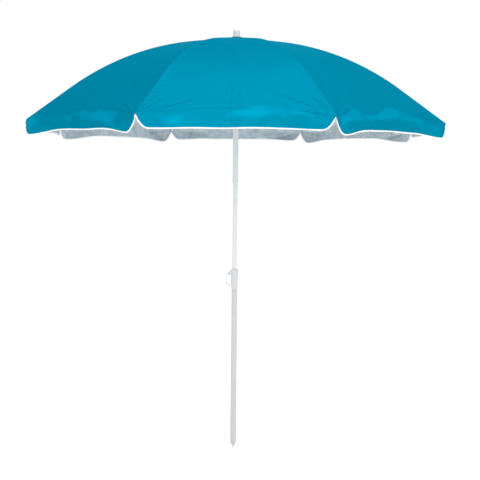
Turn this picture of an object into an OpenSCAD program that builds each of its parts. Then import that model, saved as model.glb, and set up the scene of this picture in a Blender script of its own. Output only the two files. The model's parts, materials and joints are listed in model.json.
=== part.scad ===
// Beach umbrella: a two-piece telescopic pole with a ground spike and a lever
// clamp, a runner that folds eight ribs and their stretchers, and a canopy
// with a valance. Millimetres, +Z up, origin at the tip of the ground spike.
// Each canopy panel is the cloth that one rib carries, out to the middle of
// the gores on both sides of it.

/* [Canopy frame] */
// Radius at the rib tips
tip_r = 830; // [700:1:1000]
// Height of the crown's hinge wire above the spike tip
crown_z = 1657.5; // [1380:0.5:2000]
// Slope of a rib where it leaves the crown, in degrees
inner_slope = 8; // [6:0.5:10]
// Slope of a rib at its tip, in degrees
outer_slope = 37; // [33:0.5:40]
// Radius at which a rib starts to bend down
bend_start_r = 183; // [140:1:215]
// Radius of a rib's bend
bend_r = 1041; // [880:1:1150]
// Radius at which a stretcher meets its rib
pivot_r = 350; // [300:1:420]

/* [Canopy cloth] */
// Thickness of the cloth solid
cloth_t = 1.5; // [1:0.1:2.5]
// Height of the valance at the middle of a gore
valance_h = 66; // [40:1:90]
// How far the gore's edge curves in between two rib tips
scallop = 40; // [10:1:70]
// Half the width of the notch in the valance at a rib tip
notch_w = 25; // [15:1:40]
// Radius of the opening in the cloth under the top washer
eyelet_r = 14; // [12.5:0.5:18]
// Free space between the cloth solids of neighbouring panels
gore_gap = 0.8; // [0.4:0.1:2]

/* [Ribs and stretchers] */
// Width of a rib's channel
rib_w = 5; // [4.4:0.2:6]
// Height of a rib's channel
rib_h = 4.5; // [3.6:0.1:6]
// Sheet thickness of a rib's channel
rib_t = 0.8; // [0.6:0.1:1.2]
// Thickness of a rib's hinge tab
tab_t = 3; // [2:0.1:3.6]
// Wall of the plastic tip and of the pivot clip on a rib
tip_wall = 0.7; // [0.5:0.05:1]
// Thickness of a stretcher's strap
strap_t = 1.6; // [1.2:0.1:2]
// Width of a stretcher's strap
strap_w = 7; // [5:0.5:9]
// Length of a stretcher's end that runs beside the rib
strap_side = 130; // [90:1:150]
// Distance of the stretcher's rivet below the middle of the rib
pivot_drop = 7; // [6:0.5:10]

/* [Crown and runner] */
// Radius of the two rings of hinge wire
wire_ring_r = 25; // [23:0.5:30]
// Thickness radius of the hinge wire
wire_r = 1.2; // [1:0.05:1.5]
// Distance of the runner's hinge wire below the crown's in the open umbrella
runner_drop = 257.5; // [215:0.5:275]
// Length of the runner's sleeve under its flange
runner_len = 50; // [35:1:60]
// Radius of the finial
finial_r = 14.2; // [12:0.1:18]
// Height of the finial above the top washer
finial_h = 29.2; // [20:0.1:40]

/* [Pole] */
// Outer radius of the upper tube
upper_r = 11; // [9:0.1:13.5]
// Wall of both tubes
tube_wall = 0.8; // [0.6:0.1:1.2]
// Radial gap between the two tubes, which the bush and the collar take up
tube_gap = 0.7; // [0.4:0.1:1.2]
// Top of the lower tube above the spike tip
lower_top = 720; // [650:1:780]
// Length of upper tube that sits in the lower tube
insertion = 290; // [260:1:400]
// Length of the ground spike's cone
spike_l = 30; // [20:1:60]

/* [Pole clamp] */
// Height of the clamp collar
collar_h = 79; // [70:1:90]
// Wall of the collar around the lower tube at its foot
collar_wall = 1.4; // [1:0.1:3]
// Radial step of the lower tube's end, on which the collar seats
seat_step = 0.3; // [0.2:0.05:0.4]
// Distance of the lever's pin outside the collar's foot
pin_out = 14.6; // [13.6:0.1:18]
// Distance of the lever's pin below the collar's top
pin_drop = 19; // [17:0.5:24]
// Distance of the cam's middle from the lever's pin
cam_throw = 1.2; // [0.4:0.1:1.4]
// Radius of the lever's finger loop
loop_r = 18; // [15:0.5:18.5]

/* [Clearances] */
// Radial clearance of the hinge wires in their eyes
wire_gap = 0.1; // [0.06:0.01:0.1]
// Radial clearance of a sliding or turning plastic part
slide_gap = 0.3; // [0.2:0.05:0.5]
// Radial clearance of the guide bush in the lower tube
bush_gap = 0.1; // [0.05:0.01:0.1]
// Side clearance of a tab, strap or lever beside its neighbour
side_gap = 0.4; // [0.3:0.05:0.8]
// Clearance between the cloth and what it lies over
cloth_gap = 1; // [0.8:0.1:1.5]
// Gap between faces that are pressed or riveted together
snug_gap = 0.05; // [0.02:0.01:0.08]

/* [Hidden] */
$fn = 64;
RIBS = [1:8];
rib_step = 45;

// Colours
pole_white = [0.86, 0.88, 0.89];
plastic_white = [0.93, 0.94, 0.94];
steel = [0.62, 0.64, 0.66];
teal = [0.0, 0.55, 0.70];
dark_plastic = [0.16, 0.17, 0.18];

// Rib centre line: a straight at the crown, a bend, and a straight to the tip
bend_x = bend_start_r - bend_r * sin(inner_slope);
bend_top_z = crown_z - (bend_start_r - wire_ring_r) * tan(inner_slope);
bend_z = bend_top_z - bend_r * cos(inner_slope);
bend_end_r = bend_x + bend_r * sin(outer_slope);
bend_end_z = bend_z + bend_r * cos(outer_slope);
function rib_z(r) =
    r < bend_start_r ? crown_z - (r - wire_ring_r) * tan(inner_slope)
    : r < bend_end_r ? bend_z + sqrt(bend_r * bend_r - pow(r - bend_x, 2))
    : bend_end_z - (r - bend_end_r) * tan(outer_slope);
function rib_slope(r) =
    r < bend_start_r ? inner_slope
    : r < bend_end_r ? asin((r - bend_x) / bend_r)
    : outer_slope;

// Heights and radii that follow from the driving dimensions
upper_in = upper_r - tube_wall;
lower_in = upper_r + tube_gap;
lower_r = lower_in + tube_wall;
eye_r = 3.2;
tab_end = 12;
rib_end_r = tip_r - 7;
seam_out = 2.4;
flange_r = wire_ring_r + 5;
flange_t = 10;
collar_top = lower_top + 9;
collar_bottom = collar_top - collar_h;
seat_r = lower_r - seat_step;
seat_bottom = collar_bottom - 5;
collar_r = lower_r + collar_wall;
collar_taper = 0.7;
collar_flange_r = lower_r + 2.5;
collar_flange_h = 15;
rivet_r = 1.6;
rivet_heights = [collar_bottom + 12, collar_bottom + 34];
pin_r = 1.5;
pin_x = collar_r + pin_out;
pin_z = collar_top - pin_drop;
lever_w = 9;
cam_r = 4;
ear_t = 3;
ear_y = lever_w / 2 + side_gap;
shoe_w = 8;
shoe_h = 10;
loop_x = -(pin_x - 10.5);
loop_z = pin_z - 27;
loop_bead_r = 2.6;
loop_tip_x = -(collar_r + collar_taper + side_gap + loop_bead_r);
loop_start = 165;
loop_end = 360 - acos((loop_tip_x - loop_x) / loop_r);
upper_bottom = lower_top - insertion;
crown_top = crown_z + 2.3;
crown_bottom = crown_z - 36;
crown_socket_top = crown_z - 8;
crown_sleeve_r = upper_r + 4;
crown_rivet_z = crown_bottom + 12;
finial_screw_r = 3;
cloth_lift = rib_h / 2 + tip_wall + cloth_gap + cloth_t / 2;
washer_z = crown_z + (wire_ring_r - eyelet_r) * tan(inner_slope)
    + cloth_lift + cloth_t / 2 + cloth_gap;
washer_t = 3;
runner_z = crown_z - runner_drop;
runner_bottom = runner_z - flange_t / 2 - runner_len;
catch_w = 4;
catch_l = 50;
catch_t = 1;
catch_top = runner_bottom - side_gap;
rivet_head_h = 1.2;
strap_y = rib_w / 2 + tip_wall + side_gap + rivet_head_h;
pivot_x = pivot_r - pivot_drop * sin(rib_slope(pivot_r));
pivot_z = rib_z(pivot_r) - pivot_drop * cos(rib_slope(pivot_r));
strap_l = norm([pivot_x - wire_ring_r, pivot_z - runner_z]);
strap_angle = atan2(pivot_z - runner_z, pivot_x - wire_ring_r);

module around(i) {
    rotate([0, 0, rib_step * (i - 0.5)]) children();
}

// A cylinder that starts on the pole's axis and points to the back
module to_back(h, r) {
    rotate([-90, 0, 0]) cylinder(h = h, r = r, $fn = 24);
}

// A cylinder along +Y, centred on y = 0
module cross_pin(r, l) {
    rotate([90, 0, 0]) cylinder(r = r, h = l, center = true);
}

module wire_ring(r) {
    rotate_extrude() translate([wire_ring_r, 0]) circle(r = r, $fn = 32);
}

// ---- Lower pole ----

module ground_spike() {
    plug_l = 45;
    point_r = 2;
    color(pole_white) difference() {
        union() {
            cylinder(h = spike_l, r1 = point_r, r2 = lower_r - 0.2);
            translate([0, 0, spike_l]) cylinder(h = plug_l, r = lower_in - snug_gap);
        }
        // four pressed flutes meet at the point
        for (a = [45:90:315]) rotate([0, 0, a])
            translate([lower_r + 1.5, 0, -1]) rotate([0, -14, 0])
                cylinder(h = spike_l + 6, r = 4.5);
    }
}

module lower_tube() {
    color(pole_white) difference() {
        translate([0, 0, spike_l]) union() {
            cylinder(h = seat_bottom - spike_l, r = lower_r);
            cylinder(h = lower_top - spike_l, r = seat_r);
        }
        translate([0, 0, spike_l - 1])
            cylinder(h = lower_top, r = lower_in);
        // window for the brake shoe
        translate([-2 * lower_r, -shoe_w / 2 - side_gap, pin_z - shoe_h / 2 - side_gap])
            cube([2 * lower_r, shoe_w + 2 * side_gap, shoe_h + 2 * side_gap]);
        for (z = rivet_heights) translate([0, 0, z]) to_back(2 * lower_r, rivet_r);
    }
}

// Clevis ears carry the lever's pin on the collar's -X side
module clamp_ear() {
    ear = [[-10, collar_top], [-(pin_x - 3.5), pin_z + 5],
           [-(pin_x + 1), pin_z + 4], [-(pin_x + 4.4), pin_z],
           [-(pin_x + 1.5), pin_z - 4], [-18, pin_z - 7], [-10, pin_z - 12]];
    rotate([90, 0, 0]) linear_extrude(ear_t) polygon(ear);
}

module clamp_collar() {
    swell = 4;
    edge = 1.5;
    top_r = collar_r + collar_taper;
    color(plastic_white) difference() {
        union() {
            translate([0, 0, collar_bottom])
                cylinder(h = collar_h - collar_flange_h, r1 = collar_r, r2 = top_r);
            translate([0, 0, collar_top - collar_flange_h]) {
                cylinder(h = swell, r1 = top_r, r2 = collar_flange_r);
                translate([0, 0, swell])
                    cylinder(h = collar_flange_h - swell - edge, r = collar_flange_r);
            }
            translate([0, 0, collar_top - edge])
                cylinder(h = edge, r1 = collar_flange_r, r2 = collar_flange_r - edge);
            translate([0, ear_y + ear_t, 0]) clamp_ear();
            translate([0, -ear_y, 0]) clamp_ear();
        }
        translate([0, 0, collar_bottom - 1])
            cylinder(h = lower_top - collar_bottom + 1, r = seat_r + snug_gap);
        cylinder(h = collar_top + 1, r = upper_r + slide_gap);
        // way for the brake shoe and the lever's cam
        translate([-pin_x - 10, -ear_y, pin_z - shoe_h / 2 - side_gap])
            cube([pin_x + 10, 2 * ear_y, shoe_h + 2 * side_gap]);
        translate([-pin_x, 0, pin_z]) cross_pin(pin_r, 40);
        for (z = rivet_heights) translate([0, 0, z]) to_back(2 * lower_r, rivet_r);
    }
}

// Two blind rivets hold the collar on the lower tube, at the back
module collar_rivet() {
    head_y = collar_r + collar_taper;
    color(steel) for (z = rivet_heights) translate([0, 0, z]) {
        translate([0, lower_in, 0]) to_back(head_y - lower_in, rivet_r);
        translate([0, head_y, 0]) rotate([-90, 0, 0])
            cylinder(r1 = 3, r2 = 1.8, h = rivet_head_h, $fn = 24);
    }
}

// ---- Clamp lever and brake shoe ----

// Cam hub on the pin, a link, and a finger loop that ends beside the pole
module lock_lever() {
    strip_t = 4.6;
    joint_x = loop_x - loop_r;
    link = [[-(pin_x + 3.6), pin_z + 0.6], [-(pin_x + 6.6), pin_z - 12],
            [joint_x - strip_t / 2 + 0.6, loop_z + 4], [joint_x + strip_t / 2 - 0.3, loop_z + 3],
            [-(pin_x + 1.6), pin_z - 12], [-(pin_x - 2), pin_z - 3]];
    color(plastic_white) difference() {
        union() {
            // the cam is off the pin's axis, towards the brake shoe
            translate([-pin_x + cam_throw, 0, pin_z]) cross_pin(cam_r, lever_w);
            translate([0, lever_w / 2, 0]) rotate([90, 0, 0])
                linear_extrude(lever_w) polygon(link);
            translate([loop_x, 0, loop_z]) rotate([90, 0, 0])
                rotate([0, 0, loop_start]) rotate_extrude(angle = loop_end - loop_start)
                    translate([loop_r - strip_t / 2, -lever_w / 2]) square([strip_t, lever_w]);
            translate([loop_tip_x, 0, loop_z + loop_r * sin(loop_end)])
                cross_pin(loop_bead_r, lever_w);
        }
        translate([-pin_x, 0, pin_z]) cross_pin(pin_r + bush_gap, 40);
    }
}

module lever_pin() {
    l = lever_w + 2 * side_gap + 2 * ear_t;
    color(steel) translate([-pin_x, 0, pin_z]) {
        cross_pin(pin_r, l);
        for (s = [-1, 1]) translate([0, s * (l + rivet_head_h) / 2, 0])
            cross_pin(2.4, rivet_head_h);
    }
}

module brake_shoe() {
    shoe_end = pin_x - cam_throw - cam_r - slide_gap;
    color(dark_plastic) difference() {
        translate([-shoe_end, -shoe_w / 2, pin_z - shoe_h / 2])
            cube([shoe_end - upper_r + 1, shoe_w, shoe_h]);
        translate([0, 0, pin_z - shoe_h])
            cylinder(r = upper_r + slide_gap, h = 2 * shoe_h);
    }
}

// ---- Upper pole ----

module upper_tube() {
    color(pole_white) difference() {
        translate([0, 0, upper_bottom])
            cylinder(h = crown_socket_top - upper_bottom, r = upper_r);
        translate([0, 0, upper_bottom - 1])
            cylinder(h = crown_socket_top, r = upper_in);
        // slot for the runner catch, on the +Y side
        translate([-catch_w / 2 - side_gap, 0, catch_top - catch_l])
            cube([catch_w + 2 * side_gap, 2 * upper_r, catch_l + 1]);
        translate([0, 0, crown_rivet_z]) cross_pin(rivet_r, 4 * upper_r, $fn = 24);
    }
}

// Guide bush on the foot of the upper tube, inside the lower tube
module tube_end_bush() {
    collar_l = 10;
    plug_l = 20;
    wall = 3;
    color(dark_plastic) difference() {
        translate([0, 0, upper_bottom - collar_l]) {
            cylinder(h = collar_l, r = lower_in - bush_gap);
            cylinder(h = collar_l + plug_l, r = upper_in - snug_gap);
        }
        translate([0, 0, upper_bottom - collar_l - 1])
            cylinder(h = collar_l + plug_l + 2, r = upper_in - wall);
    }
}

module crown() {
    slot_w = tab_t + 2 * side_gap;
    color(plastic_white) difference() {
        union() {
            translate([0, 0, crown_z - 6])
                cylinder(h = crown_top - crown_z + 6, r = flange_r);
            translate([0, 0, crown_z - 10]) cylinder(h = 5, r1 = 16, r2 = 22);
            translate([0, 0, crown_bottom])
                cylinder(h = crown_z - 8 - crown_bottom, r = crown_sleeve_r);
        }
        translate([0, 0, crown_bottom - 1])
            cylinder(h = crown_socket_top - crown_bottom + 1, r = upper_r + snug_gap);
        for (i = RIBS) around(i)
            translate([wire_ring_r - eye_r - 0.8, -slot_w / 2, crown_z - 12])
                cube([20, slot_w, 30]);
        translate([0, 0, crown_z]) wire_ring(wire_r);
        cylinder(h = crown_top + 1, r = finial_screw_r);
        translate([0, 0, crown_rivet_z]) cross_pin(rivet_r, 4 * upper_r, $fn = 24);
    }
}

module crown_wire() {
    color(steel) translate([0, 0, crown_z]) wire_ring(wire_r);
}

// One rivet passes through the crown's sleeve and the tube
module crown_rivet() {
    l = 2 * crown_sleeve_r;
    color(steel) translate([0, 0, crown_rivet_z]) {
        cross_pin(rivet_r, l, $fn = 24);
        for (s = [-1, 1]) translate([0, s * (l + rivet_head_h) / 2, 0])
            cross_pin(3, rivet_head_h, $fn = 24);
    }
}

module finial() {
    z0 = washer_z + washer_t;
    edge = 8;
    color(plastic_white) {
        translate([0, 0, z0]) rotate_extrude() {
            difference() {
                union() {
                    square([finial_r - edge, finial_h]);
                    translate([0, 3]) square([finial_r, finial_h - edge - 3]);
                    polygon([[0, 0], [finial_r - 3, 0], [finial_r, 3], [0, 3]]);
                    translate([finial_r - edge, finial_h - edge]) circle(r = edge);
                }
                translate([-20, -1]) square([20, 2 * finial_h]);
                translate([finial_r, 9]) circle(r = 1.2, $fn = 32);
            }
        }
        // screw that goes down into the crown
        translate([0, 0, crown_z - 6])
            cylinder(r = finial_screw_r, h = z0 - crown_z + 7);
    }
}

module top_washer() {
    color(plastic_white) translate([0, 0, washer_z]) difference() {
        union() {
            cylinder(r = finial_r + 6, h = washer_t / 2);
            translate([0, 0, washer_t / 2])
                cylinder(r1 = finial_r + 6, r2 = finial_r + 3, h = washer_t / 2);
        }
        translate([0, 0, -1]) cylinder(r = finial_screw_r + snug_gap, h = washer_t + 2);
    }
}

// Spring strip in the upper tube; its step holds the open runner up
module runner_catch() {
    root_r = sqrt(upper_in * upper_in - catch_w * catch_w / 4) - snug_gap;
    lip_r = upper_r + 2.6;
    low = catch_top - catch_l - 12;
    strip = [[root_r - catch_t, low], [root_r, low], [root_r, catch_top - catch_l + 2],
             [lip_r, catch_top - 3], [lip_r, catch_top], [lip_r - catch_t, catch_top],
             [lip_r - catch_t, catch_top - 3.2], [root_r - catch_t, catch_top - catch_l + 1]];
    color(steel) rotate([0, 0, 90]) rotate([90, 0, 0])
        translate([0, 0, -catch_w / 2]) linear_extrude(catch_w) polygon(strip);
}

// ---- Runner ----

module runner() {
    slot_w = strap_t + 2 * side_gap;
    color(plastic_white) difference() {
        union() {
            translate([0, 0, runner_z - flange_t / 2]) cylinder(h = flange_t, r = flange_r);
            translate([0, 0, runner_z - flange_t / 2 - 6])
                cylinder(h = 6, r1 = upper_r + 4, r2 = flange_r - 4);
            translate([0, 0, runner_bottom])
                cylinder(h = runner_len + flange_t + 4, r = upper_r + 3.6);
            translate([0, 0, runner_bottom]) cylinder(h = 6, r = upper_r + 5.5);
        }
        translate([0, 0, runner_bottom - 1])
            cylinder(h = runner_len + 40, r = upper_r + slide_gap);
        for (i = RIBS) around(i)
            translate([wire_ring_r - eye_r - 0.8, -slot_w / 2, runner_z - eye_r - 1])
                cube([20, slot_w, 30]);
        translate([0, 0, runner_z]) wire_ring(wire_r);
    }
}

module runner_wire() {
    color(steel) translate([0, 0, runner_z]) wire_ring(wire_r);
}

// ---- Ribs ----

// Turns a solid that points along +Z to lie down a slope, its +x side up
module down_slope(r, slope) {
    translate([r, 0, rib_z(r)]) rotate([0, 90 + slope, 0]) rotate([0, 0, 180]) children();
}

// Side view of a strip along the rib, between two distances from its centre line
rib_steps = 26;
function rib_edge(r0, r1, off) = [
    for (k = [0:rib_steps]) let (r = r0 + (r1 - r0) * k / rib_steps, s = rib_slope(r))
        [r + off * sin(s), rib_z(r) + off * cos(s)]];
module rib_strip(r0, r1, low, high, width) {
    upper = rib_edge(r0, r1, high);
    lower = rib_edge(r0, r1, low);
    rotate([90, 0, 0]) linear_extrude(width, center = true)
        polygon(concat(upper, [for (k = [rib_steps:-1:0]) lower[k]]));
}

// Channel open downwards, with a flat hinge tab and an eye at the crown
module rib(i) {
    start_r = wire_ring_r + tab_end;
    color(steel) around(i) difference() {
        union() {
            translate([wire_ring_r, 0, crown_z]) cross_pin(eye_r, tab_t);
            down_slope(wire_ring_r, inner_slope)
                translate([-rib_h / 2, -tab_t / 2, 0])
                    cube([rib_h - rib_t / 2, tab_t, tab_end + 6]);
            difference() {
                rib_strip(start_r, rib_end_r, -rib_h / 2, rib_h / 2, rib_w);
                rib_strip(start_r - 1, rib_end_r + 1, -rib_h, rib_h / 2 - rib_t,
                    rib_w - 2 * rib_t);
            }
        }
        translate([wire_ring_r, 0, crown_z]) cross_pin(wire_r + wire_gap, 2 * tab_t);
    }
}

// Plastic cap on the rib's end; the cloth is sewn to its bead
module rib_tip(i) {
    cap_l = 16;
    cap_r = rib_end_r - (cap_l - 3) * cos(outer_slope);
    color(plastic_white) around(i) down_slope(cap_r, outer_slope) difference() {
        union() {
            translate([-rib_h / 2 - tip_wall, -rib_w / 2 - tip_wall, 0])
                cube([rib_h + 2 * tip_wall, rib_w + 2 * tip_wall, cap_l]);
            translate([-1.6, 0, cap_l - 3]) cross_pin(2.6, rib_w + 2 * tip_wall + 3);
        }
        translate([-rib_h / 2 - snug_gap, -rib_w / 2 - snug_gap, -1])
            cube([rib_h + 2 * snug_gap, rib_w + 2 * snug_gap, cap_l - 2 + snug_gap]);
    }
}

// Clip around the rib with an ear that carries the stretcher's rivet
module rib_clip(i) {
    clip_l = 14;
    ear_w = 8;
    slope = rib_slope(pivot_r);
    outer_y = rib_w / 2 + tip_wall;
    color(steel) around(i) translate([pivot_r, 0, rib_z(pivot_r)])
        rotate([0, 90 + slope, 0]) rotate([0, 0, 180]) {
            difference() {
                translate([-rib_h / 2 - tip_wall, -outer_y, -clip_l / 2])
                    cube([rib_h + 2 * tip_wall, 2 * outer_y, clip_l]);
                rib_way(clip_l);
            }
            // ear, on the side where the strap runs
            difference() {
                union() {
                    translate([-pivot_drop, -outer_y, -ear_w / 2])
                        cube([pivot_drop, tip_wall, ear_w]);
                    translate([-pivot_drop, -outer_y + tip_wall, 0]) rotate([90, 0, 0])
                        cylinder(r = ear_w / 2, h = tip_wall);
                    translate([-pivot_drop, -outer_y + tip_wall + 1, 0]) rotate([90, 0, 0])
                        cylinder(r1 = 1.6, r2 = 2.4, h = 1.2, $fn = 24);
                }
                rib_way(clip_l);
            }
        }
}

// Room for the rib in its clip, with a little more height where the rib bends
module rib_way(l) {
    rise = 0.2;
    translate([-rib_h / 2 - rise, -rib_w / 2 - snug_gap, -l])
        cube([rib_h + 2 * rise, rib_w + 2 * snug_gap, 2 * l]);
}

// ---- Stretchers ----

// Plan of the strap: central at the runner, stepped aside next to the rib
module strap_plan() {
    step_end = strap_l - strap_side;
    step_start = step_end - 25;
    h = strap_t / 2;
    polygon([[eye_r * 0.6, -h], [step_start, -h], [step_end, strap_y - h],
             [strap_l, strap_y - h], [strap_l, strap_y + h],
             [step_end - 1, strap_y + h], [step_start - 1, h], [eye_r * 0.6, h]]);
}

module stretcher(i) {
    color(steel) around(i) translate([wire_ring_r, 0, runner_z])
        rotate([0, -strap_angle, 0]) difference() {
            union() {
                cross_pin(eye_r, strap_t);
                translate([0, 0, -strap_w / 2]) linear_extrude(strap_w) strap_plan();
                translate([strap_l, strap_y, 0]) cross_pin(strap_w / 2, strap_t);
                translate([strap_l, strap_y + strap_t / 2, 0]) rotate([-90, 0, 0])
                    cylinder(r1 = 2.4, r2 = 1.6, h = 1.1, $fn = 24);
            }
            cross_pin(wire_r + wire_gap, 4 * strap_t);
        }
}

// ---- Canopy ----

// Across a panel: -1 and 1 are the middles of its two gores, 0 is the rib
notch_u = notch_w / (tip_r * sin(rib_step) / 2);
cloth_u = [-1, -0.7, -0.42, -0.2, -notch_u, 0, notch_u, 0.2, 0.42, 0.7, 1];
// Along a panel: 0 is the opening under the washer, 1 is the seam of the valance
cloth_rows = 18;
function seam_r(u) = tip_r + seam_out - scallop * (1 - pow(1 - abs(u), 2.2));
function row_r(k, u) = eyelet_r + (seam_r(u) - eyelet_r) * k / (cloth_rows - 1);

// A point of the cloth's middle surface on the chord between two ribs, moved
// out along the slope's normal by off
function cloth_point(r, u, off) =
    let (s = rib_slope(r),
         x = r * (1 - abs(u) * (1 - cos(rib_step)) / 2),
         y = u * r * sin(rib_step) / 2,
         edge = abs(u) == 1 ? gore_gap / 2 : 0)
    [x + off * sin(s) + edge * sin(rib_step / 2),
     y - sign(u) * edge * cos(rib_step / 2),
     rib_z(r) + off * cos(s)];

// The valance hangs from the seam; at the rib it is cut up to the seam
hem_z = rib_z(seam_r(1)) + cloth_lift - valance_h;
function hem_height(u) = abs(u) < notch_u / 2 ? rib_z(seam_r(0)) + cloth_lift - 4 : hem_z;
function valance_point(u, f, out) =
    let (top = cloth_point(seam_r(u), u, cloth_lift))
    [top[0] + out, top[1],
     top[2] + (hem_height(u) - top[2]) * f];

module canopy(i) {
    columns = len(cloth_u);
    half = cloth_t / 2;
    rows = cloth_rows + 2;
    function side(out) = [
        for (k = [0:rows - 1]) for (u = cloth_u)
            k < cloth_rows ? cloth_point(row_r(k, u), u, cloth_lift + out)
            : valance_point(u, (k - cloth_rows + 1) / 2, out)];
    points = concat(side(half), side(-half));
    inner = rows * columns;
    function at(k, j) = k * columns + j;
    faces = concat(
        [for (k = [0:rows - 2]) for (j = [0:columns - 2]) each [
            [at(k, j), at(k, j + 1), at(k + 1, j + 1)],
            [at(k, j), at(k + 1, j + 1), at(k + 1, j)],
            [inner + at(k, j), inner + at(k + 1, j + 1), inner + at(k, j + 1)],
            [inner + at(k, j), inner + at(k + 1, j), inner + at(k + 1, j + 1)]]],
        [for (j = [0:columns - 2]) each [
            [at(0, j), inner + at(0, j), inner + at(0, j + 1)],
            [at(0, j), inner + at(0, j + 1), at(0, j + 1)],
            [at(rows - 1, j), inner + at(rows - 1, j + 1), inner + at(rows - 1, j)],
            [at(rows - 1, j), at(rows - 1, j + 1), inner + at(rows - 1, j + 1)]]],
        [for (k = [0:rows - 2]) each [
            [at(k, 0), inner + at(k + 1, 0), inner + at(k, 0)],
            [at(k, 0), at(k + 1, 0), inner + at(k + 1, 0)],
            [at(k, columns - 1), inner + at(k, columns - 1), inner + at(k + 1, columns - 1)],
            [at(k, columns - 1), inner + at(k + 1, columns - 1), at(k + 1, columns - 1)]]]);
    color(teal) around(i) polyhedron(points, faces);
}

ground_spike();
lower_tube();
clamp_collar();
collar_rivet();
lock_lever();
lever_pin();
brake_shoe();
upper_tube();
tube_end_bush();
crown();
crown_wire();
crown_rivet();
finial();
top_washer();
runner_catch();
runner();
runner_wire();
for (i = RIBS) {
    rib(i);
    rib_tip(i);
    rib_clip(i);
    canopy(i);
    stretcher(i);
}
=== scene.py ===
"""Beach umbrella: the cloth, its trim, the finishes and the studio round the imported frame."""
import json
import math

import bmesh
import bpy
import numpy as np
from bpy.props import FloatProperty, FloatVectorProperty, IntProperty, PointerProperty
from mathutils import Matrix, Vector, noise


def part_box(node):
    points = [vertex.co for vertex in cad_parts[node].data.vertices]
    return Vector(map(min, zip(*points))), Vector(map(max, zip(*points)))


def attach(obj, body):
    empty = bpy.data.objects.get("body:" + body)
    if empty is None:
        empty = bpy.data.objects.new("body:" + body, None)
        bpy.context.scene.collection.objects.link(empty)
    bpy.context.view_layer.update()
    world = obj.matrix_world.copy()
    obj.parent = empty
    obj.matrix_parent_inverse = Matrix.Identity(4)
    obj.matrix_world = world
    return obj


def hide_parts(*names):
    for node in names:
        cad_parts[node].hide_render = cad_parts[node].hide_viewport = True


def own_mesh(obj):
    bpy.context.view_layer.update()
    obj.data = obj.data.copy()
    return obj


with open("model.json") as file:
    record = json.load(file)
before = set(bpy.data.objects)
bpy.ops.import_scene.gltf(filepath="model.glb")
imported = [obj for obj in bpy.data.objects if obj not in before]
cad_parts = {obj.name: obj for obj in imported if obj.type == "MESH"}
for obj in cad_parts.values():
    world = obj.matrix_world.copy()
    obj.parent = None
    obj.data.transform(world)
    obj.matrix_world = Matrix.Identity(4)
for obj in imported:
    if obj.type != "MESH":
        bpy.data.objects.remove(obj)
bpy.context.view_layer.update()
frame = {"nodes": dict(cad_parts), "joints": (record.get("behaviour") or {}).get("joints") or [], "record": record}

bl_info = {
    "name": "Beach Umbrella",
    "version": (1, 0, 0),
    "blender": (4, 5, 0),
    "location": "View3D > Sidebar > Umbrella",
    "description": "Sews the canopy on a folding umbrella frame, finishes the metal and sets up a studio",
    "category": "Object",
}

RIBS = range(1, 9)
RIB_STEP = math.radians(45)
JOINTS = {joint["name"]: joint for joint in frame["joints"]}


# ---------------------------------------------------------------- settings


class FrameLine(bpy.types.PropertyGroup):
    """The line that every rib follows, as the frame was made."""

    inner_slope: FloatProperty(
        name="Inner slope", description="Slope of a rib where it leaves the crown",
        default=math.radians(8), subtype="ANGLE")
    outer_slope: FloatProperty(
        name="Outer slope", description="Slope of a rib at its tip",
        default=math.radians(37), subtype="ANGLE")
    bend_start: FloatProperty(
        name="Bend start", description="Radius at which a rib starts to bend",
        default=0.183, subtype="DISTANCE")
    bend_radius: FloatProperty(
        name="Bend radius", description="Radius of a rib's bend",
        default=1.041, subtype="DISTANCE")
    rib_width: FloatProperty(
        name="Rib width", description="Width of a rib's channel",
        default=0.005, subtype="DISTANCE")
    rib_height: FloatProperty(
        name="Rib height", description="Height of a rib's channel",
        default=0.0045, subtype="DISTANCE")
    tip_overhang: FloatProperty(
        name="Tip overhang", description="How far the cloth's seam lies beyond a rib's end",
        default=0.0094, subtype="DISTANCE")


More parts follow.
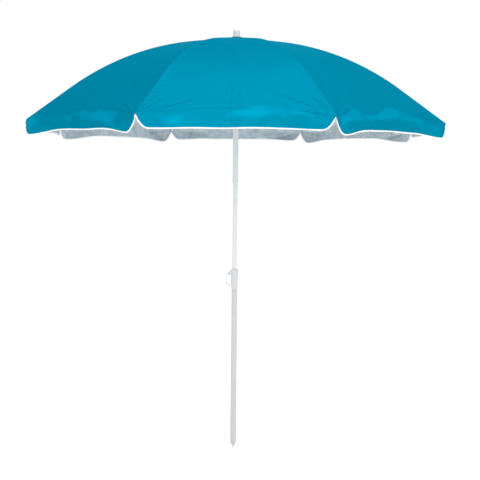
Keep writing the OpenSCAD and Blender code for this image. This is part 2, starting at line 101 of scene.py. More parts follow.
class ClothCut(bpy.types.PropertyGroup):
    """The cut of the canopy's cloth and how it is drawn tight."""

    lift: FloatProperty(
        name="Lift", description="Height of the cloth over a rib's centre line",
        default=0.0043, subtype="DISTANCE")
    thickness: FloatProperty(
        name="Thickness", description="Thickness of the cloth",
        default=0.0006, subtype="DISTANCE")
    eyelet: FloatProperty(
        name="Eyelet", description="Radius of the opening under the top washer",
        default=0.014, subtype="DISTANCE")
    scallop: FloatProperty(
        name="Scallop", description="How far a gore's edge curves in between two rib tips",
        default=0.040, subtype="DISTANCE")
    sag: FloatProperty(
        name="Sag", description="How far the cloth is drawn in at the middle of a gore",
        default=0.005, subtype="DISTANCE")
    hem_height: FloatProperty(
        name="Hem height", description="Height of the hem at the middle of a gore",
        default=1.2745, subtype="DISTANCE")
    corner_drop: FloatProperty(
        name="Corner drop", description="How far the hem's corners hang below its middle",
        default=0.0105, subtype="DISTANCE")
    notch_width: FloatProperty(
        name="Notch width", description="Half the width of the valance's notch at a rib tip",
        default=0.035, subtype="DISTANCE")
    notch_rise: FloatProperty(
        name="Notch rise", description="Height of the notch over the hem's corners",
        default=0.045, subtype="DISTANCE")
    hem_flare: FloatProperty(
        name="Hem flare", description="How far the hem stands out at the middle of a gore",
        default=0.006, subtype="DISTANCE")
    corner_flare: FloatProperty(
        name="Corner flare", description="How far the hem's corners stand out at the side ribs",
        default=0.009, subtype="DISTANCE")
    seam_bend: FloatProperty(
        name="Seam bend", description="Length of cloth that bends on each side of the valance's seam",
        default=0.014, subtype="DISTANCE")
    tip_folds: FloatProperty(
        name="Tip folds", description="Height of the folds that run out from the rib tips",
        default=0.0023, subtype="DISTANCE")
    billow: FloatProperty(
        name="Billow", description="Height of the cloth's broad, soft waves",
        default=0.0018, subtype="DISTANCE")
    belly: FloatProperty(
        name="Belly", description="How far the valance bulges beside its notches",
        default=0.010, subtype="DISTANCE")
    pucker: FloatProperty(
        name="Pucker", description="Height of the small creases along a rib's seam",
        default=0.0006, subtype="DISTANCE")
    seed: IntProperty(name="Seed", description="Chooses the pattern of folds", default=7)


class Trim(bpy.types.PropertyGroup):
    """Binding, seams and the ties that hold the cloth to the ribs."""

    binding_height: FloatProperty(
        name="Binding height", description="Height of the tape folded over the hem",
        default=0.0050, subtype="DISTANCE")
    binding_thickness: FloatProperty(
        name="Binding thickness", description="Thickness of the folded tape",
        default=0.0022, subtype="DISTANCE")
    fell_width: FloatProperty(
        name="Fell width", description="Half the width of the felled seam over a rib",
        default=0.005, subtype="DISTANCE")
    fell_rise: FloatProperty(
        name="Fell rise", description="Height of the felled seam over the cloth",
        default=0.0007, subtype="DISTANCE")
    tie_thread: FloatProperty(
        name="Tie thread", description="Radius of the thread of a rib tie",
        default=0.0005, subtype="DISTANCE")


class Finish(bpy.types.PropertyGroup):
    """Colours of the cloth, the tape and the hardware."""

    cloth: FloatVectorProperty(
        name="Cloth", description="Outside of the canopy",
        default=(0.0, 0.205, 0.325), subtype="COLOR", size=3, min=0, max=1)
    coating: FloatVectorProperty(
        name="Coating", description="Coated inside of the canopy",
        default=(0.44, 0.51, 0.555), subtype="COLOR", size=3, min=0, max=1)
    tape: FloatVectorProperty(
        name="Tape", description="Binding of the hem",
        default=(0.86, 0.89, 0.91), subtype="COLOR", size=3, min=0, max=1)
    enamel: FloatVectorProperty(
        name="Lower enamel", description="Paint of the lower pole",
        default=(0.515, 0.525, 0.54), subtype="COLOR", size=3, min=0, max=1)
    # painted light: the upper pole's enamel is a lighter copy of the lower pole's, for the light that falls on the
    # upper pole
    upper_lit_enamel: FloatVectorProperty(
        name="Upper enamel", description="Paint of the upper pole",
        default=(0.665, 0.68, 0.69), subtype="COLOR", size=3, min=0, max=1)
    plastic: FloatVectorProperty(
        name="Plastic", description="Moulded parts",
        default=(0.585, 0.595, 0.61), subtype="COLOR", size=3, min=0, max=1)


class Stage(bpy.types.PropertyGroup):
    """Camera and light."""

    distance: FloatProperty(
        name="Distance", description="Distance of the camera from the pole",
        default=3.574, subtype="DISTANCE")
    height: FloatProperty(
        name="Height", description="Height of the camera over the floor",
        default=1.172, subtype="DISTANCE")
    lens: FloatProperty(name="Lens", description="Focal length in millimetres", default=66.28)
    pitch: FloatProperty(
        name="Pitch", description="How far the camera looks down",
        default=math.radians(1.46), subtype="ANGLE")
    yaw: FloatProperty(
        name="Yaw", description="How far the camera looks past the pole",
        default=math.radians(-0.28), subtype="ANGLE")
    roll: FloatProperty(
        name="Roll", description="Turn of the camera about its view",
        default=math.radians(0.5), subtype="ANGLE")
    shift: FloatProperty(name="Shift", description="Vertical shift of the lens", default=-0.12)
    daylight: FloatProperty(
        name="Daylight", description="Strength of the even light from all round", default=0.86)
    key: FloatProperty(
        name="Key light", description="Power of the large front light in watts", default=50.0)
    top: FloatProperty(
        name="Top light", description="Power of the large light overhead in watts", default=46.0)


GROUPS = {"umbrella_frame": FrameLine, "umbrella_cut": ClothCut, "umbrella_trim": Trim,
          "umbrella_finish": Finish, "umbrella_stage": Stage}


# ---------------------------------------------------------------- shaders


class Value:
    """A number or colour socket; Python's operators on it add Math nodes."""

    def __init__(self, maker, socket):
        self.maker, self.socket = maker, socket

    def _math(self, operation, *operands):
        node = self.maker.node(
            "ShaderNodeMath", {"operation": operation}, dict(enumerate(operands)))
        return Value(self.maker, node.outputs[0])

    def __add__(self, other):
        return self._math("ADD", self, other)

    def __sub__(self, other):
        return self._math("SUBTRACT", self, other)

    def __rsub__(self, other):
        return self._math("SUBTRACT", other, self)

    def __mul__(self, other):
        return self._math("MULTIPLY", self, other)

    def __truediv__(self, other):
        return self._math("DIVIDE", self, other)

    def __gt__(self, other):
        return self._math("GREATER_THAN", self, other)

    def __abs__(self):
        return self._math("ABSOLUTE", self)

    __radd__, __rmul__ = __add__, __mul__

    def sine(self):
        return self._math("SINE", self)

    def clipped(self):
        node = self.maker.node("ShaderNodeClamp", {}, {"Value": self})
        return Value(self.maker, node.outputs[0])


class Maker:
    """One material and its nodes."""

    def __init__(self, name, slot):
        self.material = bpy.data.materials.new(name)
        self.material.use_nodes = True
        self.slot = slot
        self.tree = self.material.node_tree
        self.tree.nodes.clear()
        self.surface = self.tree.nodes.new("ShaderNodeBsdfPrincipled")
        output = self.tree.nodes.new("ShaderNodeOutputMaterial")
        self.tree.links.new(self.surface.outputs[0], output.inputs[0])

    def node(self, kind, settings=None, inputs=None):
        """Adds a node, sets it up, then fills its sockets with numbers or links."""
        node = self.tree.nodes.new(kind)
        for name, value in (settings or {}).items():
            setattr(node, name, value)
        for name, value in (inputs or {}).items():
            self.fill(node.inputs[name], value)
        return node

    def fill(self, socket, value):
        if isinstance(value, Value):
            value = value.socket
        if isinstance(value, bpy.types.NodeSocket):
            self.tree.links.new(value, socket)
        else:
            socket.default_value = value

    def set(self, **values):
        """Fills the surface's sockets; a name's underscores are spaces."""
        for name, value in values.items():
            self.fill(self.surface.inputs[name.replace("_", " ")], value)
        return self

    def place(self):
        return self.node("ShaderNodeTexCoord").outputs["Object"]

    def split(self, vector):
        node = self.node("ShaderNodeSeparateXYZ", {}, {0: vector})
        return [Value(self, socket) for socket in node.outputs]

    def uv(self, name):
        return self.split(self.node("ShaderNodeUVMap", {"uv_map": name}).outputs[0])

    def noise(self, vector, scale, detail=2.0, rough=0.5):
        node = self.node("ShaderNodeTexNoise", {}, {
            "Vector": vector, "Scale": scale, "Detail": detail, "Roughness": rough})
        return Value(self, node.outputs[0])

    def voronoi(self, vector, scale):
        node = self.node("ShaderNodeTexVoronoi", {}, {"Vector": vector, "Scale": scale})
        return Value(self, node.outputs["Distance"])

    def stretched(self, vector, scale):
        return self.node("ShaderNodeMapping", {}, {0: vector, "Scale": scale}).outputs[0]

    def mix(self, share, first, second):
        node = self.node("ShaderNodeMix", {"data_type": "RGBA"}, {
            0: share, 6: (*first, 1) if isinstance(first, tuple) else first,
            7: (*second, 1) if isinstance(second, tuple) else second})
        return Value(self, node.outputs[2])

    def bump(self, height, distance, strength=1.0):
        self.set(Normal=self.node("ShaderNodeBump", {}, {
            "Height": height, "Distance": distance, "Strength": strength}).outputs[0])
        return self


def shade(colour, factor):
    return tuple(min(1.0, channel * factor) for channel in colour)


THREAD_PITCH = 0.0009  # of the cloth's weave
STITCH = 0.0032  # length of a stitch and the gap after it
STITCH_HALF = 0.0005  # width of a stitch on each side of its line
FELL_ROW = 0.0038  # from a rib's middle to each row of stitches on its fell
SEAM_ROW = 0.0035  # from the valance's seam down to its row of stitches
FELL_HALF = 0.0056  # width of the fell on each side of a rib, painted lighter outside as a highlight and darker inside
SHEEN_PLACE = 0.017  # of the painted sheen patches' middle, below the valance's seam


def stitches(across, along, distance):
    """A dashed line of stitches that lies at that distance on both sides of zero."""
    line = (1 - abs(abs(across) - distance) / STITCH_HALF).clipped()
    return line * ((along * (2 * math.pi / STITCH)).sine() > -0.35)


def weave(across, along):
    """Over and under of a plain weave, from -1 to 1."""
    turn = 2 * math.pi / THREAD_PITCH
    return (across * turn).sine() * (along * turn).sine()


def seam_lines(across, along, past_seam):
    """Both rows of stitches on a rib's fell, and the row under the valance's seam."""
    return stitches(across, along, FELL_ROW) + stitches(past_seam - SEAM_ROW, across, 0.0)


def fell_share(across):
    """1 on a rib's fell and 0 beside it."""
    return (1 - abs(across) / FELL_HALF).clipped() > 0.02


def outside_cloth(colour):
    m = Maker("umbrella_cloth_outside", "canopy_cloth")
    across, along, _ = m.uv("cloth")
    past_seam, _, _ = m.uv("seam")
    place = m.place()
    patches = m.noise(place, 3.2, 3.0, 0.6)
    crumple = m.noise(place, 38.0, 5.0, 0.6)
    thread = seam_lines(across, along, past_seam)
    fell = fell_share(across)
    body = m.mix(patches, shade(colour, 0.93), shade(colour, 1.07))
    # painted sheen: the cloth is a lighter, more saturated teal where the crumple noise is high, standing in for
    # light caught on the crumples
    crumple_sheen = m.mix(crumple * 0.30, body, (colour[0], colour[1] * 1.22, colour[2] * 1.16))
    # painted highlight: the fell over each rib is lightened, standing in for the light lines beside the ribs
    fell_highlight = m.mix(fell * 0.4, crumple_sheen, shade(colour, 1.2))
    # painted sheen: lens-shaped patches below the valance's seam are lightened, standing in for satin highlights
    drift = m.noise(m.stretched(place, (1.0, 1.0, 2.2)), 7.0, 2.0, 0.45)
    sheen = ((drift - 0.42 - abs(past_seam - SHEEN_PLACE) * 4.5) * 7.0).clipped()
    shone = m.mix(sheen * 0.75, fell_highlight, shade(colour, 1.45))
    m.set(Base_Color=m.mix((thread * 0.7).clipped(), shone, shade(colour, 0.62)),
          Roughness=0.39 + patches * 0.12 - weave(across, along) * 0.04,
          Metallic=0.32 + patches * 0.12, Specular_IOR_Level=0.0,
          Specular_Tint=(0.0, 0.62, 0.85, 1.0))
    height = weave(across, along) * 0.10 + crumple * 0.4 + thread * 0.5
    return m.bump(height, 0.0006, 0.65)


def inside_cloth(colour):
    m = Maker("umbrella_cloth_coating", "canopy_cloth")
    across, along, _ = m.uv("cloth")
    past_seam, _, _ = m.uv("seam")
    place = m.place()
    blotch = m.noise(place, 34.0, 4.0, 0.65)
    crease = m.noise(m.stretched(place, (1.0, 1.0, 1.8)), 60.0, 5.0, 0.7)
    clouds = m.noise(place, 5.0, 2.0, 0.5)
    thread = seam_lines(across, along, past_seam)
    fell = fell_share(across)
    spread = ((blotch - 0.36) * 3.4).clipped()
    silver = m.mix(spread, shade(colour, 0.76), shade(colour, 1.12))
    soft = m.mix(clouds * 0.35, silver, shade(colour, 0.9))
    taped = m.mix(fell * 0.3, soft, shade(colour, 0.7))
    m.set(Base_Color=m.mix((thread * 0.8).clipped(), taped, shade(colour, 0.4)),
          Roughness=0.40 + crease * 0.22, Metallic=0.30 + spread * 0.15,
          Specular_IOR_Level=0.5)
    height = crease * 0.8 + blotch * 0.7 + weave(across, along) * 0.08 + thread * 0.4
    return m.bump(height, 0.0012, 0.8)


def binding_tape(colour):
    m = Maker("umbrella_binding_tape", "canopy_cloth")
    around, along, _ = m.uv("tape")
    ribs = (along * (2 * math.pi / 0.0011)).sine()
    soil = m.noise(m.place(), 14.0, 3.0, 0.6)
    thread = (1 - abs(around - 0.30) / 0.03).clipped() * (
        (along * (2 * math.pi / STITCH)).sine() > -0.3)
    m.set(Base_Color=m.mix(soil * 0.5, colour, shade(colour, 0.86)),
          Roughness=0.62 + soil * 0.15, Specular_IOR_Level=0.3)
    return m.bump(ribs * 0.35 + soil * 0.3 + thread * 0.8, 0.0004, 0.7)


def tie_cord(colour):
    m = Maker("umbrella_tie_thread", "canopy_cloth")
    place = m.place()
    twist = m.noise(m.stretched(place, (900.0, 900.0, 300.0)), 1.0, 2.0, 0.5)
    m.set(Base_Color=m.mix(twist, shade(colour, 0.7), colour), Roughness=0.7 + twist * 0.2)
    return m.bump(twist, 0.0002, 0.6)


def pole_enamel(name, colour):
    """Powder coat: fine orange peel, faint rub marks along the tube and a cool tint."""
    m = Maker(name, "pole_enamel")
    place = m.place()
    peel = m.noise(place, 900.0, 2.0, 0.5)
    rubs = m.noise(m.stretched(place, (260.0, 260.0, 5.0)), 1.0, 4.0, 0.65)
    clouds = m.noise(m.stretched(place, (1.0, 1.0, 0.25)), 24.0, 3.0, 0.55)
    marks = ((rubs - 0.60) * 5.0).clipped()
    base = m.mix(clouds, shade(colour, 0.95), shade(colour, 1.04))
    m.set(Base_Color=m.mix(marks * 0.22, base, shade(colour, 0.72)),
          Roughness=0.30 + clouds * 0.10 + marks * 0.18,
          Coat_Weight=0.25 + clouds * 0.1, Coat_Roughness=0.22, Specular_IOR_Level=0.5)
    return m.bump(peel * 0.5 + marks * 0.2, 0.00012, 0.5)


def moulded_plastic(name, slot, colour, grain=1500.0, gloss=0.34, relief=0.00005):
    m = Maker(name, slot)
    place = m.place()
    texture = m.voronoi(place, grain)
    clouds = m.noise(place, 60.0, 3.0, 0.6)
    streaks = m.noise(m.stretched(place, (60.0, 60.0, 400.0)), 1.0, 4.0, 0.7)
    scuffs = ((streaks - 0.62) * 5).clipped()
    base = m.mix(clouds, shade(colour, 0.94), shade(colour, 1.03))
    m.set(Base_Color=m.mix(scuffs * 0.12, base, shade(colour, 0.85)),
          Roughness=gloss + clouds * 0.12 + scuffs * 0.15, Specular_IOR_Level=0.5)
    return m.bump(texture * 0.5 + scuffs * 0.4, relief, 0.4)


def drawn_steel(name, slot, colour, metallic=1.0):
    """Zinc-bright or lightly painted strip: fine drawing lines and dull spots."""
    m = Maker(name, slot)
    place = m.place()
    lines = m.noise(m.stretched(place, (500.0, 500.0, 60.0)), 1.0, 4.0, 0.7)
    spots = m.noise(place, 120.0, 4.0, 0.65)
    dull = ((spots - 0.50) * 4.0).clipped()
    m.set(Base_Color=m.mix(dull * 0.5, colour, shade(colour, 0.72)),
          Metallic=metallic - dull * 0.15, Roughness=0.26 + lines * 0.16 + dull * 0.2)
    return m.bump(lines * 0.5 + dull * 0.3, 0.00008, 0.5)


# ---------------------------------------------------------------- the canopy's shape


VALANCE = 0.06  # of cloth from the seam to the hem, as measured along the cloth
GORE_LENGTH = 0.95  # of cloth from the crown to the valance's seam, the same way
CORNER_PLACE = 0.03  # of the hem's corner, from the rib
CORNER_REACH = 0.085  # along the hem, over which a corner's drop dies out
CREASES = ((-0.012, 0.0010), (-0.026, 0.0006), (0.020, 0.0005))  # places and heights
CREASE_HALF = 0.0030
GATHER_PITCH = 0.021  # of the small creases along a rib's seam
TIE_SHARES = (0.30, 0.56, 0.78)  # of the way from the crown to a rib's tip
# in millimetres from a rib, from the valance's seam, and in shares of the valance
NEAR_RIB = [0, 2, 4.2, 5.8, 8, 10.5, 13.5, 17, 21, 25, 29, 34, 40]
NEAR_SEAM = [0, 2.5, 5, 7.5, 10, 12.5, 15, 19, 24, 30, 37, 45]
VALANCE_ROWS = [0.04, 0.09, 0.15, 0.22, 0.30, 0.38, 0.47, 0.56, 0.65, 0.74, 0.83, 0.92, 1.0]


def smooth(x):
    x = np.clip(x, 0.0, 1.0)
    return x * x * (3 - 2 * x)


def wave(points, scale, seed):
    """Smooth noise from -1 to 1 at rows of points."""
    flat = points.reshape(-1, points.shape[-1])
    values = [noise.noise(Vector((p[0] * scale, p[1] * scale, seed))) for p in flat]
    return np.array(values).reshape(points.shape[:-1])


class Canopy:
    """The cloth's middle surface, gore by gore.

    Across a gore, v runs from -1 at one rib to 1 at the next. Down it, w runs from 0 at
    the crown to 1 at the valance's seam and 2 at the hem.
    """

    def __init__(self, line, cut, trim):
        self.cut, self.trim, self.line = cut, trim, line
        hinge = Vector(JOINTS["rib_fold_1"]["pos_m"])
        self.crown_z = hinge.z
        self.crown_r = Vector((hinge.x, hinge.y)).length
        self.first = math.atan2(hinge.y, hinge.x)
        rib_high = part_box("rib_1")[1]
        half = RIB_STEP / 2
        end_r = (rib_high[0] - line.rib_width / 2 * math.sin(half)) / math.cos(half)
        self.tip_r = end_r - line.rib_height / 2 * math.sin(line.outer_slope) + line.tip_overhang
        self.bend_x = line.bend_start - line.bend_radius * math.sin(line.inner_slope)
        start_z = self.crown_z - (line.bend_start - self.crown_r) * math.tan(line.inner_slope)
        self.bend_z = start_z - line.bend_radius * math.cos(line.inner_slope)
        self.bend_end = self.bend_x + line.bend_radius * math.sin(line.outer_slope)
        self.bend_end_z = self.bend_z + line.bend_radius * math.cos(line.outer_slope)
        radii = np.linspace(0, self.tip_r + 0.01, 400)
        steps = np.hypot(np.diff(radii), np.diff(self.rib_z(radii)))
        self.arc_r, self.arc_s = radii, np.concatenate([[0], np.cumsum(steps)])

    def rib_z(self, r):
        line = self.line
        flat = self.crown_z - (r - self.crown_r) * math.tan(line.inner_slope)
        bent = self.bend_z + np.sqrt(
            np.maximum(line.bend_radius ** 2 - (r - self.bend_x) ** 2, 0))
        steep = self.bend_end_z - (r - self.bend_end) * math.tan(line.outer_slope)
        return np.where(r < line.bend_start, flat, np.where(r < self.bend_end, bent, steep))

    def rib_slope(self, r):
        bent = np.arcsin(np.clip((r - self.bend_x) / self.line.bend_radius, -1, 1))
        return np.clip(bent, self.line.inner_slope, self.line.outer_slope)

    def arc(self, r):
        return np.interp(r, self.arc_r, self.arc_s)

    def azimuth(self, gore):
        return self.first + RIB_STEP * (gore - 1)

    def chord(self, gore, r, v):
        """The point at share v of the chord between a gore's two ribs, at a rib radius r."""
        a, b = self.azimuth(gore), self.azimuth(gore + 1)
        left, right = (1 - v) / 2, (1 + v) / 2
        x = r * (left * math.cos(a) + right * math.cos(b))
        y = r * (left * math.sin(a) + right * math.sin(b))
        return np.stack([x, y, self.rib_z(r) + 0 * v], -1)

    def out(self, gore, v, slope):
        """The direction off the cloth, for a surface that falls away at that slope."""
        middle = self.azimuth(gore) + RIB_STEP / 2
        turn = middle + v * RIB_STEP / 2
        return np.stack([np.cos(turn) * np.sin(slope), np.sin(turn) * np.sin(slope),
                         np.cos(slope) + 0 * turn], -1)

    def seam_r(self, v):
        return self.tip_r - self.cut.scallop * (1 - np.abs(v) ** 2.2)

    def rib_distance(self, v):
        return (1 - np.abs(v)) * self.tip_r * math.sin(RIB_STEP / 2)

    @staticmethod
    def uneven(gore, v, turn):
        """A share from -1 to 1 that differs from one gore's end to the next."""
        other = np.sign(v) * math.sin(turn * 1.7 * gore + 1.1)
        return math.sin(turn * gore + 0.4) * 0.5 + other * 0.5

    @staticmethod
    def rib_pair(gore, v):
        """1 where the nearer rib points to the front or the back, -1 at the sides."""
        rib = gore + (v > 0)
        return math.sqrt(2) * np.cos(math.pi / 2 * (rib - 6.5))

    def hem_z(self, gore, v):
        cut = self.cut
        d = self.rib_distance(v)
        pair = self.rib_pair(gore, v)
        second = -math.cos(math.pi * gore)
        width = cut.notch_width * (1 + 0.35 * pair + 0.2 * second)
        drop = cut.corner_drop * (1 + 0.6 * second)
        rise = cut.notch_rise * np.clip(1 - d / width, 0, 1) ** 2.1
        corner = np.where(d < width, drop, drop * np.exp(-((d - width) / CORNER_REACH) ** 2))
        uneven = 0.0010 * np.sin(5.3 * v + gore * 2.1) + 0.0005 * np.sin(11.0 * v + gore)
        return cut.hem_height - corner + rise + uneven * smooth(d / 0.08)

    def base(self, gore, v, w):
        """The cloth before its folds, and the way off it."""
        cut = self.cut
        seam_r = self.seam_r(v)
        r = cut.eyelet + (seam_r - cut.eyelet) * np.minimum(w, 1)
        slope = self.rib_slope(r)
        off = self.out(gore, v, slope)
        edge = self.rib_distance(v) * r / self.tip_r
        fell = self.trim.fell_rise * smooth((self.trim.fell_width - edge) / 0.0012 + 0.5)
        drawn = cut.sag * (1 - v ** 2) * np.sin(np.pi * np.clip(w, 0, 1) ** 1.3)
        point = self.chord(gore, r, v) + off * (cut.lift + fell - drawn)[..., None]
        seam_off = self.out(gore, v, self.rib_slope(seam_r))
        seam = self.chord(gore, seam_r, v) + seam_off * cut.lift
        flat_out = self.out(gore, v, np.full_like(v, math.pi / 2))
        fall = seam[..., 2] - self.hem_z(gore, v)
        corner = self.rib_distance(v) / CORNER_PLACE
        corner = corner * np.exp(1 - corner)
        flare = cut.hem_flare * (1 - v ** 2) + cut.corner_flare * corner * (
            1 - self.rib_pair(gore, v)) / 2
        hem = seam + flat_out * flare[..., None]
        hem[..., 2] = self.hem_z(gore, v)
        q = np.clip(w - 1, 0, 1)
        valance = seam + (hem - seam) * q[..., None]
        # the cloth bends over the seam in a short curve
        reach = np.minimum(cut.seam_bend, 0.45 * fall)
        up_r = seam_r - reach * np.cos(self.line.outer_slope)
        up = self.chord(gore, up_r, v) + seam_off * cut.lift
        down = seam + (hem - seam) * (reach / fall)[..., None]
        length = (seam_r - cut.eyelet) / math.cos(self.line.outer_slope)
        place = np.where(w < 1, (w - 1) * length, q * fall)
        turn = np.clip((place + reach) / (2 * reach), 0, 1)[..., None]
        bent = (1 - turn) ** 2 * up + 2 * turn * (1 - turn) * seam + turn ** 2 * down
        near = (np.abs(place) < reach)[..., None]
        surface = np.where(near, bent, np.where((w > 1)[..., None], valance, point))
        share = smooth(np.clip(turn, 0, 1))
        way = off * (1 - share) + flat_out * share
        way = way / np.linalg.norm(way, axis=-1, keepdims=True)
        return surface, way

    def folds(self, gore, v, w):
        """Height of the tension folds at the rib tips and of the cloth's soft waves."""
        cut = self.cut
        seam_r = self.seam_r(v)
        r = cut.eyelet + (seam_r - cut.eyelet) * np.minimum(w, 1)
        q = np.clip(w - 1, 0, 1)
        half_chord = r * math.sin(RIB_STEP / 2)
        tip_s = self.arc(self.tip_r)
        s = self.arc(r) + q * VALANCE
        total = np.zeros_like(v)
        for side in (-1, 1):
            seed = cut.seed * 3.7 + gore * 5.1 + side * 1.9
            dx = (1 - side * v) * half_chord
            dy = tip_s - s
            rho = np.hypot(dx, dy) + 1e-6
            angle = np.arctan2(dx, dy)
            wobble = wave(np.stack([angle, rho * 4], -1), 1.4, seed)
            length = 0.040 + 0.050 * smooth(angle / 1.5) + 0.012 * math.sin(seed)
            swell = (rho / length * np.exp(1 - rho / length)) ** 2
            fan = np.sin(13.0 * angle + 2.4 * wobble + seed) * 0.7
            fan = fan + 0.5 * np.sin(22.0 * angle - 1.7 * wobble + seed * 1.3)
            guard = smooth(dx / 0.022) * np.exp(-np.maximum(angle - 1.9, 0) * 4)
            total = total + cut.tip_folds * fan * swell * guard
        plane = np.stack([v * half_chord, s], -1)
        broad = wave(plane, 7.0, cut.seed + gore * 11.3)
        finer = wave(plane, 17.0, cut.seed + gore * 7.7)
        lower = smooth((w - 0.35) / 0.6)
        total = total + cut.billow * (0.5 + lower) * broad + cut.billow * 0.4 * lower * finer
        # pressed creases from the folded umbrella run down beside the middle of a gore
        for place, height in CREASES:
            beside = v * half_chord - place - 0.004 * math.sin(gore)
            ridge = np.exp(-(beside / CREASE_HALF) ** 2)
            total = total + height * ridge * lower
        # the valance ripples more towards its hem
        ripple = wave(np.stack([v * 0.32 + gore, q * 0.02], -1), 13.0, cut.seed * 1.7)
        ripple2 = wave(np.stack([v * 0.32 + gore, q * 0.02], -1), 31.0, cut.seed * 2.9)
        total = total * (1 - 0.5 * q) + q * (0.0042 * ripple + 0.0014 * ripple2)
        near = np.abs(v)
        reach = 0.74 + 0.08 * self.uneven(gore, v, 2.7)
        full = 1 + 0.7 * self.uneven(gore, v, 3.1)
        bulge = np.exp(-((near - reach) / 0.17) ** 2) * np.sin(np.pi * q ** 0.75)
        total = total + cut.belly * full * bulge
        # stitches gather the cloth beside a rib
        edge = self.rib_distance(v) * r / self.tip_r
        phase = s * 2 * math.pi / GATHER_PITCH + 0.9 * wave(np.stack([s * 9, edge * 9], -1), 1.0, gore)
        gathers = np.sin(phase - np.sign(v) * edge * 110) * np.exp(-((edge - 0.022) / 0.016) ** 2)
        total = total + cut.pucker * gathers * (1 - q)
        ends = smooth(edge / 0.014)
        crown = smooth((r - 0.03) / 0.12)
        return total * ends * crown

    def points(self, gore, v, w):
        surface, way = self.base(gore, v, w)
        return surface + way * self.folds(gore, v, w)[..., None]

    def columns(self):
        """Shares from a rib, 0, to the middle of a gore, 1; close together at the rib."""
        half = self.tip_r * math.sin(RIB_STEP / 2) * 1000
        rest = np.linspace(NEAR_RIB[-1], half, 34)[1:]
        return np.concatenate([NEAR_RIB, rest]) / half

    def rows(self):
        """Places from the crown to the hem; close together at the valance's seam."""
        length = (self.tip_r - self.cut.eyelet) / math.cos(self.line.outer_slope) * 1000
        far = np.linspace(NEAR_SEAM[-1], length, 88)[1:]
        cloth = 1 - np.concatenate([NEAR_SEAM, far])[::-1] / length
        return np.concatenate([cloth, 1 + np.array(VALANCE_ROWS)])

    def half_gore(self, gore, side):
        """Grids of points and ways off the cloth, from the rib to the middle of a gore.

        side is -1 where the rib is the gore's first one and 1 where it is the second.
        """
        v = side * (1 - self.columns())
        w = self.rows()
        vv, ww = np.meshgrid(v, w)
        points = self.points(gore, vv, ww)
        step_v, step_w = 2e-3, 1e-3
        low, high = np.maximum(vv - step_v, -1), np.minimum(vv + step_v, 1)
        across = self.points(gore, high, ww) - self.points(gore, low, ww)
        first, last = np.maximum(ww - step_w, 0), np.minimum(ww + step_w, 2)
        down = self.points(gore, vv, last) - self.points(gore, vv, first)
        normals = np.cross(down, across)
        normals /= np.maximum(np.linalg.norm(normals, axis=-1, keepdims=True), 1e-12)
        return vv, points, normals

    def panel(self, rib):
        """The cloth that one rib carries: half a gore on each side of it."""
        before = (rib - 2) % len(RIBS) + 1
        v1, p1, n1 = self.half_gore(before, 1)
        v2, p2, n2 = self.half_gore(rib, -1)
        middle = n1[:, :1] + n2[:, :1]
        middle /= np.linalg.norm(middle, axis=-1, keepdims=True)
        points = np.concatenate([p1[:, :0:-1], p2], 1)
        normals = np.concatenate([n1[:, :0:-1], middle, n2[:, 1:]], 1)
        across = np.concatenate([-self.rib_distance(v1)[:, :0:-1], self.rib_distance(v2)], 1)
        return points, normals, across


def grid_mesh(name, points, normals, thickness, across, along, past_seam):
    """A closed sheet over a grid of points, with the outside in slot 0 and the inside in slot 1."""
    rows, columns = points.shape[:2]
    count = rows * columns
    outer = (points + normals * thickness / 2).reshape(-1, 3)
    inner = (points - normals * thickness / 2).reshape(-1, 3)
    index = np.arange(count).reshape(rows, columns)
    a, b, c, d = index[:-1, :-1], index[:-1, 1:], index[1:, 1:], index[1:, :-1]
    top = np.stack([a, d, c, b], -1).reshape(-1, 4)
    under = np.stack([a, b, c, d], -1).reshape(-1, 4) + count
    edge = np.concatenate([index[0, :], index[1:, -1], index[-1, -2::-1], index[-2:0:-1, 0]])
    after = np.roll(edge, -1)
    rim = np.stack([edge, after, after + count, edge + count], -1)
    faces = np.concatenate([top, under, rim])
    mesh = bpy.data.meshes.new(name)
    mesh.from_pydata(np.concatenate([outer, inner]).tolist(), [], faces.tolist())
    inside = len(top)
    kinds = np.zeros(len(faces), int)
    kinds[inside:inside + len(under)] = 1
    mesh.polygons.foreach_set("material_index", kinds)
    mesh.polygons.foreach_set("use_smooth", np.ones(len(faces), bool))
    loops = faces.reshape(-1)
    for uv_name, pair in (("cloth", (across, along)), ("seam", (past_seam, across))):
        uv = np.stack([x.reshape(-1) for x in pair], -1)
        uv = np.concatenate([uv, uv])[loops]
        mesh.uv_layers.new(name=uv_name).data.foreach_set("uv", uv.reshape(-1))
    flat = normals.reshape(-1, 3)
    shading = np.concatenate([flat, -flat])[loops]
    rim_loops = slice((inside + len(under)) * 4, None)
    mesh.validate()
    face_normals = np.zeros(len(mesh.polygons) * 3)
    mesh.polygons.foreach_get("normal", face_normals)
    shading[rim_loops] = np.repeat(face_normals.reshape(-1, 3), 4, 0)[rim_loops]
    mesh.normals_split_custom_set(shading.tolist())
    return mesh


def add_object(name, mesh, *makers):
    piece = bpy.data.objects.new(name, mesh)
    bpy.context.scene.collection.objects.link(piece)
    for maker in makers:
        piece.data.materials.append(maker.material)
    return piece


def rib_frame(rib):
    """A rib's outward and sideways directions and its body's name."""
    angle = math.atan2(JOINTS[f"rib_fold_{rib}"]["pos_m"][1], JOINTS[f"rib_fold_{rib}"]["pos_m"][0])
    outward = Vector((math.cos(angle), math.sin(angle), 0))
    return outward, Vector((-outward.y, outward.x, 0)), f"rib_arm_{rib}"


def gather(piece, rib):
    """The piece moves with its rib."""
    _, sideways, body = rib_frame(rib)
    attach(piece, body)
    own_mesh(piece)


# ---------------------------------------------------------------- operators


